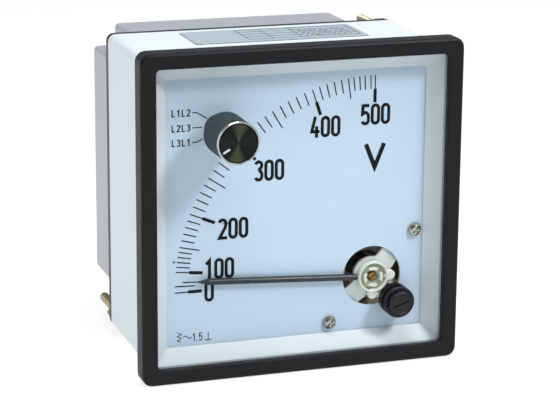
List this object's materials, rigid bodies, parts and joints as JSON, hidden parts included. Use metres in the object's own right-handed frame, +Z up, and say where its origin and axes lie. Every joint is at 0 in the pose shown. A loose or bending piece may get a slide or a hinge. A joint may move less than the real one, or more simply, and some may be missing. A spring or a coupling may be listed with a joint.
{
  "type": "analog panel voltmeter",
  "caption": "Square panel voltmeter with a swinging pointer on a quarter-circle scale, a phase selector knob, a zero adjuster and a notched rear terminal cover.",
  "frame": {"origin": "on the surface the bezel stands on, under the middle of the meter's overall box", "axes": "the face looks along -Y, +Y points to the rear terminals, +Z is up, +X is to the right as seen from the front"},
  "size_m": [0.096, 0.082, 0.096],
  "materials": {
    "black_bezel": "fine satin moulding",
    "window": "clear",
    "white_moulding": "satin white",
    "dial_face": "matt paint, printed scale",
    "bright_steel": "zinc plated",
    "black_moulding": "satin",
    "grey_cover": "smoky translucent",
    "brass_parts": "plain",
    "label_paper": "satin film",
    "bridge_metal": "die cast",
    "copper_winding": "enamelled copper wire",
    "soft_iron": "plain",
    "aluminium_parts": "plain",
    "knob_grey": "finely knurled",
    "knob_bright": "polished",
    "knob_black": "black, turned",
    "knob_mark": "white paint",
    "red_laminate": "laminate",
    "board": "laminate",
    "resistor_ceramic": "lacquered",
    "wire_red": "insulation"
  },
  "bodies": {
    "housing": {"case_shell": "white_moulding", "coil_bobbin": "black_moulding", "coil_lead": "wire_red", "coil_winding": "copper_winding", "damping_chamber": "aluminium_parts", "dial_plate": "dial_face", "dial_screw_lower": "bright_steel", "dial_screw_upper": "bright_steel", "dial_surround": "white_moulding", "fixed_vane": "soft_iron", "fixing_nut_lower": "brass_parts", "fixing_nut_upper": "brass_parts", "fixing_stud_lower": "brass_parts", "fixing_stud_upper": "brass_parts", "front_bearing": "brass_parts", "front_bezel": "black_bezel", "front_bridge": "bridge_metal", "movement_frame": "bridge_metal", "movement_post_1": "brass_parts", "movement_post_2": "brass_parts", "rating_label": "label_paper", "rear_bearing": "brass_parts", "rear_plate": "black_moulding", "rear_plate_screw_left": "bright_steel", "rear_plate_screw_right": "bright_steel", "resistor_board": "board", "series_resistor": "resistor_ceramic", "switch_body": "black_moulding", "switch_contact_1": "brass_parts", "switch_contact_2": "brass_parts", "switch_contact_3": "brass_parts", "switch_front_plate": "red_laminate", "switch_post_1": "brass_parts", "switch_post_2": "brass_parts", "terminal_nut_1": "brass_parts", "terminal_nut_2": "brass_parts", "terminal_nut_3": "brass_parts", "terminal_stud_1": "brass_parts", "terminal_stud_2": "brass_parts", "terminal_stud_3": "brass_parts", "window_glass": "window", "zero_bush": "black_moulding"},
    "rear_cover": {"rear_cover": "grey_cover"},
    "zero_screw": {"zero_screw": "black_moulding"},
    "zero_lever": {"zero_lever": "white_moulding", "hairspring": "brass_parts"},
    "pointer": {"pointer": "black_moulding", "pointer_hub": "brass_parts", "spindle": "bright_steel", "moving_vane": "soft_iron", "balance_arm": "brass_parts", "damping_vane": "aluminium_parts"},
    "selector": {"knob_body": "knob_grey", "knob_ring": "knob_bright", "knob_cap": "knob_black", "knob_index": "knob_mark", "knob_set_screw": "bright_steel", "selector_shaft": "bright_steel", "selector_rotor": "red_laminate", "selector_wiper": "brass_parts"}
  },
  "joints": [
    {"name": "selector_turn", "type": "hinge", "parent": "housing", "child": "selector", "pos_m": [-0.0236, -0.029, 0.0724], "axis": [0, 1, 0], "range_deg": [0, 60]},
    {"name": "zero_adjust", "type": "hinge", "parent": "housing", "child": "zero_screw", "pos_m": [0.0301, -0.029, 0.0179], "axis": [0, 1, 0], "range_deg": [-40, 40]},
    {"name": "zero_lever_turn", "type": "hinge", "parent": "housing", "child": "zero_lever", "pos_m": [0.02345, -0.023, 0.02505], "axis": [0, 1, 0], "range_deg": [-5, 5]},
    {"name": "pointer_swing", "type": "hinge", "parent": "zero_lever", "child": "pointer", "pos_m": [0.02345, -0.023, 0.02505], "axis": [0, 1, 0], "range_deg": [-3.3, 86.7], "stiffness_Nm_per_rad": 0.002, "deforming": ["hairspring"]},
    {"name": "cover_slide", "type": "slide", "parent": "housing", "child": "rear_cover", "axis": [0, 1, 0], "range_m": [0, 0.02]}
  ],
  "couplings": [
    {"joint": "zero_lever_turn", "follows": "zero_adjust", "ratio": -0.108}
  ]
}
